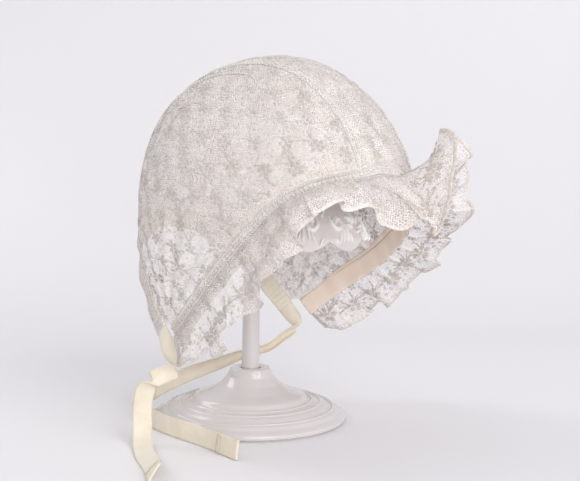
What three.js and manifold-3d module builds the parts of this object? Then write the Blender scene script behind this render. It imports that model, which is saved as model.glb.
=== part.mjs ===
// Baby bonnet of embroidered lace on a white hat stand, in millimetres, +Z up.
// The face opens toward -Y and the wearer's right side is -X.
// The origin is the centre of the stand's foot, on the surface that it stands on.

import * as THREE from 'three';
import { mergeVertices } from 'three/addons/utils/BufferGeometryUtils.js';
import Module from 'manifold-3d';

const wasm = await Module();
wasm.setup();

const { sin, cos, abs, min, max, pow, sqrt, hypot, PI } = Math;
const radians = THREE.MathUtils.degToRad;
const mix = THREE.MathUtils.lerp;
const vec = ( x, y, z ) => new THREE.Vector3( x, y, z );

// Driving dimensions

const clearance = 0.3; // left between pieces that touch

const footRadius = 52.5;
const footThickness = 4;
const collarRadius = 10.8;
const collarHeight = 28; // top of the foot's collar
const socketDepth = 6;
const postRadius = 4.9; // at the foot
const postTopRadius = 4.2; // at the head
const standTurns = 44; // facets round the foot
const lobeTurns = 6; // facets round each lobe of the head
const postTurns = 24;
const bossTurns = 32;
const columnTurns = 36;

const headCentre = - 23; // the stand's head sits this far forward of the post
const headHalfLength = 44; // fore and aft
const headHalfWidth = 40;
const headRimHeight = 99.5;
const headRise = 21; // from the rim to the shoulder
const headWall = 2.5;
const headLobes = 11;
const lobeDrop = 3.5;
const lobeShift = 1 / 3; // of a lobe that the rim is turned on
const bossRadius = 8;
const bossLip = 0.5; // the boss stops this far under the head's top
const columnCentre = - 15;
const columnRadius = 17.5;
const columnCap = 7; // height of the column's domed top
const columnCapSteps = 6;

const clothThickness = 1.2;
const seamGap = 0.5; // between the lace and a strip along its edge
const crownCentreY = - 17;
const crownCentreZ = 115;
const crownFront = 72; // from the crown's centre to the forehead
const crownBack = 75;
const crownHalfWidth = 66.5;
const crownRise = 80;
const crownPlan = 2.15; // power of the plan's oval, 2 is an ellipse
const crownFrontFullness = 1.9;
const crownBackFullness = 2.15;
const crownTuck = 0.06; // narrowing at the corners of the neck
const cornerY = 9;
const cornerZ = 54; // where the face seam and the neck edge meet
const neckAngle = 50; // of the neck edge's plane above the level, facing back
const halfTurn = 180; // degrees of swing from corner to corner
const cornerSpread = 4; // degrees off the corner at which the lace ends
const seamOffset = 25; // of the two crown seams from the middle
const seamRidge = 0.8;
const seamHalfWidth = 1.6;
const cornerFoldHeight = 1.6; // of the folds that fan out from each corner
const cornerFoldCount = 4.5;
const cornerFoldStart = 30; // degrees off the middle at which they begin
const cornerFoldFull = 64;
const neckFoldHeight = 0.9; // of the gathers at the neck edge
const neckFoldCount = 8;
const neckFoldReach = 0.4; // share of the turn that they reach up
const foldFadeStart = 66; // degrees off the middle at which all folds fade out towards a corner
const foldFadeEnd = 84;

const bandWidth = 9.5;
const rufflePlace = 4.6; // down the face band, where the ruffle is sewn on
const rufflePitch = 31; // of the flutes
const scallopPitch = 16;
const scallopDepth = 3;
const fluteSwing = 13; // degrees at the free edge
const fluteFull = 0.625; // share of the depth at which the flutes are full
const leastLean = 4; // degrees, keeps the ruffle off the band
const casingWidth = 9.5;
const ribbonWidth = 9.5;
const ribbonThickness = 1;

const crownTurns = 22; // rows of the crown's grid
const sideColumns = 13; // its columns on each side panel
const stripColumns = 6; // its columns between the seams
const bandColumns = 60;
const casingColumns = 40;
const ruffleColumns = 114;
const ruffleSteps = 5;
const edgeSamples = 180; // places along an edge at which its length is measured
const edgeSwing = 0.4; // degrees to each side that an edge's direction is taken over
const edgeTurn = 0.02; // share of the turn that the lace's slope at an edge is taken over
const halvings = 36; // of each search for a point of the lace
const weld = 1e-4; // points closer than this are one

// The foot from its edge up to the collar: radius as a share of footRadius, height as a share of collarHeight
const footSteps = [
	{ radius: 1.00, height: 0.14 },
	{ radius: 0.93, height: 0.17 },
	{ radius: 0.90, height: 0.23 },
	{ radius: 0.82, height: 0.26 },
	{ radius: 0.78, height: 0.32 },
	{ radius: 0.68, height: 0.36 },
	{ radius: 0.60, height: 0.39 },
	{ radius: 0.57, height: 0.48 },
	{ radius: 0.42, height: 0.57 },
	{ radius: 0.31, height: 0.69 },
	{ radius: 0.24, height: 0.84 },
];

// The head's shoulder: radius as a share of headHalfLength, height as a share of headRise above the rim
const headSteps = [
	{ radius: 1.00, height: 0.00 },
	{ radius: 0.95, height: 0.20 },
	{ radius: 0.86, height: 0.52 },
	{ radius: 0.72, height: 0.80 },
	{ radius: 0.50, height: 0.96 },
	{ radius: 0.38, height: 1.00 },
];

// The face seam from the right corner to the left one: the angle of its half-plane above the level, facing back
const faceSeam = [
	{ along: 0.00, angle: 137 },
	{ along: 0.14, angle: 133 },
	{ along: 0.30, angle: 132 },
	{ along: 0.45, angle: 137.5 },
	{ along: 0.60, angle: 142.5 },
	{ along: 0.76, angle: 144 },
	{ along: 0.88, angle: 140 },
	{ along: 1.00, angle: 137 },
];

// The ruffle from the right corner to the left one: its depth in mm, and its lean in degrees out of the lace
const ruffleRun = [
	{ along: 0, depth: 21, lean: 24, curl: 15 },
	{ along: 0.08, depth: 31, lean: 26, curl: 20 },
	{ along: 0.2, depth: 33, lean: 36, curl: 15 },
	{ along: 0.3, depth: 34, lean: 54, curl: - 42 },
	{ along: 0.37, depth: 33, lean: 58, curl: - 42 },
	{ along: 0.415, depth: 41, lean: 36, curl: - 26 },
	{ along: 0.455, depth: 43, lean: 28, curl: - 9 },
	{ along: 0.48, depth: 40, lean: 46, curl: - 4 },
	{ along: 0.52, depth: 34, lean: 112, curl: 5 },
	{ along: 0.55, depth: 36, lean: 138, curl: 14 },
	{ along: 0.6, depth: 35, lean: 126, curl: 14 },
	{ along: 0.66, depth: 32, lean: 100, curl: 10 },
	{ along: 0.73, depth: 30, lean: 76, curl: 5 },
	{ along: 0.84, depth: 30, lean: 54, curl: 15 },
	{ along: 0.93, depth: 31, lean: 46, curl: 15 },
	{ along: 1, depth: 21, lean: 34, curl: 15 },
];

// The ribbons' centre lines from the corners of the bonnet to the surface; twist turns the ribbon's width
// from level, across the view, to upright
const rightTieRoute = [
	{ x: - 6, y: 0.8, z: 4.5, twist: 40 },
	{ x: - 6, y: 0.3, z: 4, twist: 50 },
	{ x: - 6.2, y: 0.1, z: 3.7, twist: 60 },
	{ x: - 6.6, y: 0.4, z: 3.5, twist: 75 },
	{ x: - 7.1, y: 0.9, z: 3.2, twist: 50 },
	{ x: - 7.2, y: 1.3, z: 2.6, twist: 20 },
	{ x: - 7.2, y: 1.5, z: 1.7, twist: 5 },
	{ x: - 7.3, y: 1.4, z: 0.9, twist: 5 },
	{ x: - 8, y: 0.8, z: 0.3, twist: 10 },
	{ x: - 9.3, y: - 0.5, z: 0.2, twist: 15 },
	{ x: - 10.6, y: - 2, z: 0.2, twist: 35 },
	{ x: - 11.9, y: - 3.3, z: 0.1, twist: 60 },
];
const leftTieRoute = [
	{ x: 6, y: 0.9, z: 4.3, twist: 55 },
	{ x: 5.7, y: 1, z: 4, twist: 55 },
	{ x: 5.2, y: 1.4, z: 3.6, twist: 65 },
	{ x: 4.6, y: 1.8, z: 3.1, twist: 75 },
	{ x: 3.8, y: 2.2, z: 2.9, twist: 75 },
	{ x: 2.6, y: 2.6, z: 2.8, twist: 75 },
	{ x: 1.5, y: 3.1, z: 2.5, twist: 80 },
	{ x: - 0.4, y: 4.2, z: 1.9, twist: 80 },
	{ x: - 1.5, y: 5.3, z: 1.2, twist: 80 },
	{ x: - 1.9, y: 6, z: 0.6, twist: 80 },
	{ x: - 3.3, y: 4.8, z: 0.5, twist: 80 },
	{ x: - 4.8, y: 2.9, z: 0.5, twist: 80 },
	{ x: - 5.6, y: 0.9, z: 0.5, twist: 80 },
	{ x: - 6.1, y: - 1.2, z: 0.5, twist: 80 },
	{ x: - 6.6, y: - 2.8, z: 0.5, twist: 80 },
	{ x: - 7.1, y: - 4.3, z: 0.5, twist: 80 },
];
const ribbonSide = vec( 0.574, - 0.819, 0 ); // level direction that an untwisted ribbon's width takes
const ribbonSteps = 48;
const routeUnit = 10; // the routes are in steps of this length
const ribbonClear = 1.5; // left between a ribbon and the foot's edge

// Materials

const finish = ( color, roughness ) => new THREE.MeshStandardMaterial( { color, roughness, metalness: 0 } );
const whiteGloss = finish( 0xf0eeee, 0.25 );
const lace = finish( 0xe1dad6, 0.85 );
const beigeTape = finish( 0xdcc6b6, 0.8 );
const creamSatin = finish( 0xefe6cc, 0.5 );

// Helpers

// Value of one column of a table at a place between its rows, smoothly
function read( table, column, along ) {

	let k = 0;
	while ( k < table.length - 2 && table[ k + 1 ].along < along ) k ++;
	const from = table[ k ];
	const to = table[ k + 1 ];
	const share = THREE.MathUtils.clamp( ( along - from.along ) / ( to.along - from.along ), 0, 1 );
	return mix( from[ column ], to[ column ], share * share * ( 3 - 2 * share ) );

}

// Closed cloth wall round a grid of points on its middle surface, rows[ i ][ j ]
function clothWall( rows, thickness ) {

	const last = rows.length - 1;
	const edge = rows[ 0 ].length - 1;
	const positions = [];
	const index = [];
	for ( const side of [ 0.5, - 0.5 ] ) {

		for ( let i = 0; i <= last; i ++ ) {

			for ( let j = 0; j <= edge; j ++ ) {

				const down = rows[ min( i + 1, last ) ][ j ].clone().sub( rows[ max( i - 1, 0 ) ][ j ] );
				const across = rows[ i ][ min( j + 1, edge ) ].clone().sub( rows[ i ][ max( j - 1, 0 ) ] );
				const normal = down.cross( across ).normalize();
				positions.push( ...rows[ i ][ j ].clone().addScaledVector( normal, side * thickness ) );

			}

		}

	}

	const inner = rows.length * rows[ 0 ].length;
	const at = ( i, j ) => i * ( edge + 1 ) + j;
	const quad = ( a, b, c, d ) => index.push( a, b, c, a, c, d );
	for ( let i = 0; i < last; i ++ ) {

		for ( let j = 0; j < edge; j ++ ) {

			quad( at( i, j ), at( i + 1, j ), at( i + 1, j + 1 ), at( i, j + 1 ) );
			quad( inner + at( i, j ), inner + at( i, j + 1 ), inner + at( i + 1, j + 1 ), inner + at( i + 1, j ) );

		}

	}

	for ( let j = 0; j < edge; j ++ ) {

		quad( at( 0, j + 1 ), inner + at( 0, j + 1 ), inner + at( 0, j ), at( 0, j ) );
		quad( at( last, j ), inner + at( last, j ), inner + at( last, j + 1 ), at( last, j + 1 ) );

	}

	for ( let i = 0; i < last; i ++ ) {

		quad( at( i, 0 ), inner + at( i, 0 ), inner + at( i + 1, 0 ), at( i + 1, 0 ) );
		quad( at( i + 1, edge ), inner + at( i + 1, edge ), inner + at( i, edge ), at( i, edge ) );

	}

	const geometry = new THREE.BufferGeometry();
	geometry.setAttribute( 'position', new THREE.Float32BufferAttribute( positions, 3 ) );
	geometry.setIndex( index );
	return geometry;

}

// Solid of revolution about Z from rows of [ radius, height ] that start and end on the axis, or close
function turned( profile, facets ) {

	const geometry = new THREE.LatheGeometry( profile.map( ( [ r, z ] ) => new THREE.Vector2( r, z ) ), facets );
	return geometry.rotateX( PI / 2 );

}

function toSolid( geometry ) {

	const bare = geometry.clone();
	bare.deleteAttribute( 'normal' );
	bare.deleteAttribute( 'uv' );
	const merged = mergeVertices( bare, weld );
	const triVerts = new Uint32Array( merged.index.array );
	return new wasm.Manifold( new wasm.Mesh( { numProp: 3, vertProperties: merged.attributes.position.array, triVerts } ) );

}

function fromSolid( solid ) {

	const mesh = solid.getMesh();
	const geometry = new THREE.BufferGeometry();
	geometry.setAttribute( 'position', new THREE.BufferAttribute( mesh.vertProperties, 3 ) );
	geometry.setIndex( new THREE.BufferAttribute( mesh.triVerts, 1 ) );
	return geometry;

}

const bonnet = new THREE.Group();

function add( name, geometry, material ) {

	const mesh = new THREE.Mesh( geometry, material );
	mesh.name = name;
	bonnet.add( mesh );

}

// The crown's form

// How far a point lies outside the crown's body, negative inside
function outside( p ) {

	const y = p.y - crownCentreY;
	const z = p.z - crownCentreZ;
	const reach = y < 0 ? crownFront : crownBack;
	const plan = pow( pow( abs( p.x ) / crownHalfWidth, crownPlan ) + pow( abs( y ) / reach, crownPlan ), 1 / crownPlan );
	const backness = THREE.MathUtils.smoothstep( y, - crownFront, crownBack );
	const fullness = mix( crownFrontFullness, crownBackFullness, backness );
	if ( z >= 0 ) return plan - pow( max( 0, 1 - pow( z / crownRise, fullness ) ), 1 / fullness );
	return plan - 1 + crownTuck * pow( z / ( crownCentreZ - cornerZ ), 2 );

}

// Soft folds run up from the corners and the neck edge, and a ridge marks each crown seam
function relief( turn, swing, x ) {

	const { smoothstep } = THREE.MathUtils;
	const side = abs( swing - halfTurn / 2 );
	const offCorner = 1 - smoothstep( side, foldFadeStart, foldFadeEnd );
	const fan = smoothstep( side, cornerFoldStart, cornerFoldFull ) * sin( PI * turn );
	const nearNeck = pow( 1 - smoothstep( turn, 0, neckFoldReach ), 2 );
	const cornerFolds = cornerFoldHeight * sin( 2 * PI * cornerFoldCount * turn ) * fan;
	const neckFolds = neckFoldHeight * sin( radians( swing * 2 * neckFoldCount ) ) * nearNeck;
	const ridge = seamRidge * max( 0, 1 - abs( abs( x ) - seamOffset ) / seamHalfWidth );
	return ( cornerFolds + neckFolds ) * offCorner + ridge;

}

const faceAngle = ( along ) => read( faceSeam, 'angle', along );

// Point of the lace: turn runs from the neck edge, 0, to the face seam, 1; swing is the angle off the left corner
function crownPoint( turn, swing ) {

	const angle = radians( mix( neckAngle, faceAngle( 1 - swing / halfTurn ), turn ) );
	const out = vec( cos( radians( swing ) ), sin( radians( swing ) ) * cos( angle ), sin( radians( swing ) ) * sin( angle ) );
	const start = vec( 0, cornerY, cornerZ );
	let near = 0;
	let far = 2 * ( crownRise + crownFront );
	for ( let k = 0; k < halvings; k ++ ) {

		const middle = ( near + far ) / 2;
		if ( outside( start.clone().addScaledVector( out, middle ) ) < 0 ) near = middle;
		else far = middle;

	}

	const x = near * out.x;
	return start.addScaledVector( out, near + relief( turn, swing, x ) );

}

// Swing at which the lace is a given distance to the left of the middle
function swingAt( turn, x ) {

	let low = cornerSpread;
	let high = halfTurn - cornerSpread;
	for ( let k = 0; k < halvings; k ++ ) {

		const middle = ( low + high ) / 2;
		if ( crownPoint( turn, middle ).x > x ) low = middle;
		else high = middle;

	}

	return ( low + high ) / 2;

}

// Swings of the grid's columns at one turn, from the right corner to the left, with columns along each seam
function columnSwings( turn ) {

	const stops = [ - seamOffset - seamHalfWidth, - seamOffset, - seamOffset + seamHalfWidth ];
	const right = stops.map( ( x ) => swingAt( turn, x ) );
	const left = stops.map( ( x ) => swingAt( turn, - x ) ).reverse();
	const run = ( from, to, count ) => Array.from( { length: count }, ( _, k ) => mix( from, to, k / count ) );
	return [
		...run( halfTurn - cornerSpread, right[ 0 ], sideColumns ), right[ 0 ], right[ 1 ],
		...run( right[ 2 ], left[ 0 ], stripColumns ), left[ 0 ], left[ 1 ],
		...run( left[ 2 ], cornerSpread, sideColumns ), cornerSpread,
	];

}

// An edge of the lace with its own frame at each place: along runs from the right corner to the left
function edgeFrame( turn, along ) {

	const swing = mix( halfTurn - cornerSpread, cornerSpread, along );
	const inward = turn > 0.5 ? - edgeTurn : edgeTurn;
	const point = crownPoint( turn, swing );
	const run = crownPoint( turn, swing - edgeSwing ).sub( crownPoint( turn, swing + edgeSwing ) ).normalize();
	const away = point.clone().sub( crownPoint( turn + inward, swing ) );
	away.addScaledVector( run, - away.dot( run ) ).normalize();
	const outward = run.clone().cross( away ).multiplyScalar( turn > 0.5 ? - 1 : 1 ).normalize();
	return { point, run, away, outward };

}

// Shares of the swing that lie evenly along an edge of the lace
function evenPlaces( turn, count ) {

	const points = Array.from( { length: edgeSamples + 1 }, ( _, k ) => edgeFrame( turn, k / edgeSamples ).point );
	const lengths = [ 0 ];
	for ( let k = 1; k <= edgeSamples; k ++ ) lengths.push( lengths[ k - 1 ] + points[ k ].distanceTo( points[ k - 1 ] ) );
	const total = lengths[ edgeSamples ];
	const places = [];
	let k = 1;
	for ( let n = 0; n <= count; n ++ ) {

		const length = total * n / count;
		while ( k < edgeSamples && lengths[ k ] < length ) k ++;
		places.push( ( k - 1 + ( length - lengths[ k - 1 ] ) / ( lengths[ k ] - lengths[ k - 1 ] ) ) / edgeSamples );

	}

	return { total, places };

}

// Strip of cloth sewn along an edge of the lace, from one distance off it to another
function edgeStrip( turn, columns, distances, outset ) {

	const frames = evenPlaces( turn, columns ).places.map( ( along ) => edgeFrame( turn, along ) );
	const place = ( frame, distance ) => frame.point.clone()
		.addScaledVector( frame.away, distance ).addScaledVector( frame.outward, outset );
	return distances.map( ( distance ) => frames.map( ( frame ) => place( frame, distance ) ) );

}

// The stand

function standBase() {

	const socketRadius = postRadius + clearance;
	const floor = collarHeight - socketDepth;
	const outline = footSteps.map( ( step ) => [ step.radius * footRadius, step.height * collarHeight ] );
	outline[ 0 ][ 1 ] = footThickness;
	return turned( [
		[ 0, 0 ], [ footRadius - footThickness / 4, 0 ], [ footRadius, footThickness / 4 ], ...outline,
		[ collarRadius, collarHeight ], [ socketRadius, collarHeight ], [ socketRadius, floor ], [ 0, floor ],
	], standTurns );

}

const headTop = headRimHeight + headRise;

function standPost() {

	const foot = collarHeight - socketDepth + clearance;
	const tip = headTop - headWall - clearance;
	return turned( [ [ 0, foot ], [ postRadius, foot ], [ postTopRadius, tip ], [ 0, tip ] ], postTurns );

}

// A flared hood with a scalloped rim, longer than it is wide, with a boss inside that takes the post
function standHead() {

	const outer = headSteps.map( ( step ) => [ step.radius * headHalfLength, headRimHeight + step.height * headRise ] );
	const inner = headSteps.map( ( step ) => [
		step.radius * headHalfLength - headWall * ( step.height < 1 ? 1 : 0 ),
		headRimHeight + step.height * ( headRise - headWall ),
	] );
	const hood = turned( [ [ 0, headTop - headWall ], ...inner.reverse(), ...outer, [ 0, headTop ] ], headLobes * lobeTurns );
	const place = hood.attributes.position;
	for ( let k = 0; k < place.count; k ++ ) {

		const around = Math.atan2( place.getY( k ), place.getX( k ) );
		const low = 1 - THREE.MathUtils.smoothstep( place.getZ( k ), headRimHeight, headRimHeight + headRise / 2 );
		place.setZ( k, place.getZ( k ) - lobeDrop * low * abs( sin( around * headLobes / 2 - lobeShift * radians( halfTurn ) ) ) );
		place.setX( k, place.getX( k ) * headHalfWidth / headHalfLength );
		place.setY( k, place.getY( k ) + headCentre );

	}

	const bossFoot = headTop - headWall - socketDepth;
	const bossTop = headTop - bossLip;
	const boss = turned( [ [ 0, bossFoot ], [ bossRadius, bossFoot ], [ bossRadius, bossTop ], [ 0, bossTop ] ], bossTurns );
	const hole = postTopRadius + clearance;
	const socket = turned( [ [ 0, 0 ], [ hole, 0 ], [ hole, headTop - headWall ], [ 0, headTop - headWall ] ], bossTurns );
	return fromSolid( toSolid( hood ).add( toSolid( boss ) ).subtract( toSolid( socket ) ) );

}

// A round pillar under the crown, with a domed top that stops just short of the lace
function standColumn() {

	const middle = vec( 0, columnCentre, 0 );
	const foot = headTop + clearance;
	const roof = crownCentreZ + crownRise - clothThickness / 2 - 2 * clearance;
	const shoulder = roof - columnCap;
	const cap = Array.from( { length: columnCapSteps }, ( _, k ) => {

		const angle = PI / 2 * k / columnCapSteps;
		return [ columnRadius * cos( angle ), shoulder + columnCap * sin( angle ) ];

	} );
	return turned( [ [ 0, foot ], [ columnRadius, foot ], ...cap, [ 0, roof ] ], columnTurns ).translate( ...middle );

}

// The bonnet

function crown() {

	const rows = Array.from( { length: crownTurns + 1 }, ( _, k ) => k / crownTurns )
		.map( ( turn ) => columnSwings( turn ).map( ( swing ) => crownPoint( turn, swing ) ) );
	return clothWall( rows, clothThickness );

}

const faceBand = () => clothWall( edgeStrip( 1, bandColumns, [ seamGap, seamGap + bandWidth ], 0 ), clothThickness );
const neckCasing = () => clothWall( edgeStrip( 0, casingColumns, [ seamGap, seamGap + casingWidth ], 0 ), clothThickness );

function ruffle() {

	const { total, places } = evenPlaces( 1, ruffleColumns );
	const flutes = Math.round( total / rufflePitch );
	const scallops = Math.round( total / scallopPitch );
	const lift = clothThickness + clearance;
	const frames = places.map( ( along ) => edgeFrame( 1, along ) );
	const rows = Array.from( { length: ruffleSteps + 1 }, () => [] );
	frames.forEach( ( frame, j ) => {

		const along = j / ruffleColumns;
		const depth = read( ruffleRun, 'depth', along )
			- scallopDepth * ( 1 - abs( sin( PI * scallops * along ) ) );
		const lean = read( ruffleRun, 'lean', along );
		const curl = read( ruffleRun, 'curl', along );
		const flute = fluteSwing * sin( 2 * PI * flutes * along );
		const point = frame.point.clone().addScaledVector( frame.away, seamGap + rufflePlace )
			.addScaledVector( frame.outward, lift );
		for ( let i = 0; i <= ruffleSteps; i ++ ) {

			rows[ i ].push( point.clone() );
			const share = ( i + 0.5 ) / ruffleSteps;
			const angle = radians( max( leastLean, lean + curl * ( 2 * share - 1 ) + flute * min( 1, share / fluteFull ) ) );
			point.addScaledVector( frame.away, depth / ruffleSteps * cos( angle ) )
				.addScaledVector( frame.outward, depth / ruffleSteps * sin( angle ) );

		}

	} );
	return clothWall( rows, clothThickness );

}

// A flat ribbon along a route, kept on the surface and off the foot
function ribbon( start, startWidth, route ) {

	const points = [ start, ...route.map( ( p ) => vec( p.x, p.y, p.z ).multiplyScalar( routeUnit ) ) ];
	const curve = new THREE.CatmullRomCurve3( points, false, 'centripetal' );
	const rows = [ [], [] ];
	for ( let k = 0; k <= ribbonSteps; k ++ ) {

		const share = k / ribbonSteps;
		const t = curve.getUtoTmapping( share );
		const point = curve.getPoint( t );
		const tangent = curve.getTangent( t );
		const spot = max( 0, t * ( points.length - 1 ) - 1 );
		const row = min( route.length - 2, Math.floor( spot ) );
		const twist = radians( mix( route[ row ].twist, route[ row + 1 ].twist, spot - row ) );
		const width = ribbonSide.clone().multiplyScalar( cos( twist ) ).add( vec( 0, 0, sin( twist ) ) );
		width.lerp( startWidth, 1 - min( 1, t * ( points.length - 1 ) ) );
		width.addScaledVector( tangent, - width.dot( tangent ) ).normalize();
		const reach = ribbonWidth / 2 * abs( width.z ) + ribbonThickness / 2 * sqrt( 1 - width.z * width.z );
		point.z = max( point.z, reach + clearance / 3 );
		const out = hypot( point.x, point.y );
		const keep = footRadius + ribbonClear;
		const low = point.z - reach < footThickness + ribbonClear;
		if ( low && out < keep ) point.multiply( vec( keep / out, keep / out, 1 ) );
		rows[ 0 ].push( point.clone().addScaledVector( width, ribbonWidth / 2 ) );
		rows[ 1 ].push( point.clone().addScaledVector( width, - ribbonWidth / 2 ) );

	}

	return clothWall( rows, ribbonThickness );

}

// A ribbon starts at the end of the neck casing
function tie( along, route ) {

	const frame = edgeFrame( 0, along );
	const beyond = ( along < 0.5 ? - 1 : 1 ) * ( clearance + ribbonThickness / 2 );
	const start = frame.point.clone().addScaledVector( frame.away, seamGap + casingWidth / 2 )
		.addScaledVector( frame.run, beyond );
	return ribbon( start, frame.away.negate(), route );

}

add( 'stand_base', standBase(), whiteGloss );
add( 'stand_post', standPost(), whiteGloss );
add( 'stand_head', standHead(), whiteGloss );
add( 'stand_column', standColumn(), whiteGloss );
add( 'crown', crown(), lace );
add( 'face_band', faceBand(), beigeTape );
add( 'brim_ruffle', ruffle(), lace );
add( 'neck_casing', neckCasing(), creamSatin );
add( 'tie_right', tie( 0, rightTieRoute ), creamSatin );
add( 'tie_left', tie( 1, leftTieRoute ), creamSatin );

export default bonnet;
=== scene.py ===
import math
import bpy
import numpy as np
from mathutils import Matrix, Vector


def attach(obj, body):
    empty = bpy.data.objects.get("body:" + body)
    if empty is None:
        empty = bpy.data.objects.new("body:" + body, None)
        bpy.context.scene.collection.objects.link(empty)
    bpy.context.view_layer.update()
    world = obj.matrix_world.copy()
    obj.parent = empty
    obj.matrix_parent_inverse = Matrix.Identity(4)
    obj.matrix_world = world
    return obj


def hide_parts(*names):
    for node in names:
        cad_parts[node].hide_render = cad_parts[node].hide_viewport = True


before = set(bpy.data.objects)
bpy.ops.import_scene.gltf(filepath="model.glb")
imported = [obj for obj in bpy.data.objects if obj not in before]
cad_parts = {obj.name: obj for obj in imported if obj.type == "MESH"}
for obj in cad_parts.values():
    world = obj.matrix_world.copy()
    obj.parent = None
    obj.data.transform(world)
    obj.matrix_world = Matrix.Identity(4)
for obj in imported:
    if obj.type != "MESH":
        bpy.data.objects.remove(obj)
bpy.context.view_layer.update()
bpy.ops.object.select_all(action="DESELECT")
mm = 0.001
print("frame loaded")


# the bonnet's form, in millimetres, the same as the CAD part's

crownForm = {
    "centreY": -17.0, "centreZ": 115.0, "front": 72.0, "back": 75.0, "halfWidth": 66.5, "rise": 80.0,
    "plan": 2.15, "frontFullness": 1.9, "backFullness": 2.15, "tuck": 0.06, "cornerY": 9.0, "cornerZ": 54.0,
    "neckAngle": 50.0, "spread": 4.0, "farthest": 304.0, "seamOffset": 25.0, "seamRidge": 0.8, "seamHalfWidth": 1.6,
    "cornerFold": 1.6, "cornerFolds": 4.5, "neckFold": 0.9, "neckFolds": 8, "neckFade": .4, "seamGap": 0.5,
    "cornerFade": (66, 84), "fanFade": (30, 64),   # degrees from the middle: the folds die away, the fan begins
    "pucker": 0.35, "puckerPitch": 6.5,      # small gathers along the crown seams
    "brow": 0.55, "browFolds": 27, "browFade": (.8, .98),   # small gathers at the face seam
    "pleat": 1.1, "pleatOffset": 35.5, "pleatHalfWidth": 2.4, "pleatFade": (-30, 5),   # a pleat beside each seam
}
faceSeam = [(0, 137), (0.14, 133), (0.3, 132), (0.45, 137.5), (0.6, 142.5), (0.76, 144), (0.88, 140), (1, 137)]
halvings = 34   # of a ray, to find where it leaves the crown


def unit(v):
    return v / (np.linalg.norm(v, axis=-1, keepdims=True) + 1e-12)


def lengthsAlong(path):
    return np.concatenate([[0], np.cumsum(np.linalg.norm(np.diff(path, axis=0), axis=1))])


def readTable(rows, column, along):
    places = np.array([row[0] for row in rows], float)
    values = np.array([row[column] for row in rows], float)
    along = np.asarray(along, float)
    k = np.clip(np.searchsorted(places, along) - 1, 0, len(places) - 2)
    share = np.clip((along - places[k]) / (places[k + 1] - places[k]), 0, 1)
    return values[k] + (values[k + 1] - values[k]) * share * share * (3 - 2 * share)


def ease(x, low, high):
    t = np.clip((x - low) / (high - low), 0, 1)
    return t * t * (3 - 2 * t)


def outsideCrown(p):
    f = crownForm
    y, z = p[..., 1] - f["centreY"], p[..., 2] - f["centreZ"]
    reach = np.where(y < 0, f["front"], f["back"])
    plan = ((np.abs(p[..., 0]) / f["halfWidth"]) ** f["plan"] + (np.abs(y) / reach) ** f["plan"]) ** (1 / f["plan"])
    full = f["frontFullness"] + (f["backFullness"] - f["frontFullness"]) * ease(y, -f["front"], f["back"])
    dome = np.maximum(0, 1 - (np.maximum(z, 0) / f["rise"]) ** full) ** (1 / full)
    low = plan - 1 + f["tuck"] * (np.minimum(z, 0) / (f["centreZ"] - f["cornerZ"])) ** 2
    return np.where(z >= 0, plan - dome, low)


def crownRelief(turn, swing, x, y):
    f = crownForm
    side = np.abs(swing - 90)
    offCorner = 1 - ease(side, *f["cornerFade"])
    fan = ease(side, *f["fanFade"]) * np.sin(np.pi * np.clip(turn, 0, 1))
    nearNeck = (1 - ease(turn, 0, f["neckFade"])) ** 2
    folds = f["cornerFold"] * np.sin(2 * np.pi * f["cornerFolds"] * turn) * fan
    folds = folds + f["neckFold"] * np.sin(np.radians(swing * 2 * f["neckFolds"])) * nearNeck
    nearFace = ease(turn, *f["browFade"]) ** 2
    folds = folds + f["brow"] * np.sin(np.radians(swing * 2 * f["browFolds"]) + 3 * np.sin(swing * .11)) * nearFace
    offSeam = np.abs(np.abs(x) - f["seamOffset"])
    ridge = f["seamRidge"] * np.maximum(0, 1 - offSeam / f["seamHalfWidth"])
    gather = f["pucker"] * np.sin(2 * np.pi * y / f["puckerPitch"] + np.sign(x)) * np.exp(-(offSeam - 4) ** 2 / 14)
    offPleat = np.abs(np.abs(x) - f["pleatOffset"])
    pleat = f["pleat"] * np.maximum(0, 1 - offPleat / f["pleatHalfWidth"]) * ease(y, *f["pleatFade"])
    return (folds + gather + pleat) * offCorner + ridge


def crownPoint(turn, swing):
    f = crownForm
    turn, swing = np.broadcast_arrays(np.asarray(turn, float), np.asarray(swing, float))
    angle = np.radians(f["neckAngle"] + (readTable(faceSeam, 1, 1 - swing / 180) - f["neckAngle"]) * turn)
    s = np.radians(swing)
    out = np.stack([np.cos(s), np.sin(s) * np.cos(angle), np.sin(s) * np.sin(angle)], -1)
    start = np.array([0, f["cornerY"], f["cornerZ"]])
    near, far = np.zeros(turn.shape), np.full(turn.shape, f["farthest"])
    for _ in range(halvings):
        middle = (near + far) / 2
        inside = outsideCrown(start + out * middle[..., None]) < 0
        near, far = np.where(inside, middle, near), np.where(inside, far, middle)
    skin = start + out * near[..., None]
    return skin + out * crownRelief(turn, swing, skin[..., 0], skin[..., 1])[..., None]


def placeOf(p):
    f = crownForm
    d = unit(p - np.array([0, f["cornerY"], f["cornerZ"]]))
    swing = np.degrees(np.arccos(np.clip(d[..., 0], -1, 1)))
    angle = np.degrees(np.arctan2(d[..., 2], d[..., 1]))
    turn = (angle - f["neckAngle"]) / (readTable(faceSeam, 1, 1 - swing / 180) - f["neckAngle"])
    return turn, swing


# the panels are laid out flat round this point; inset is how near the rays start, for the strip and for a side
flatForm = {"middle": np.array([0, -17.0, 108.0]), "radius": 72.0, "inset": (.8, .9)}


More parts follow.
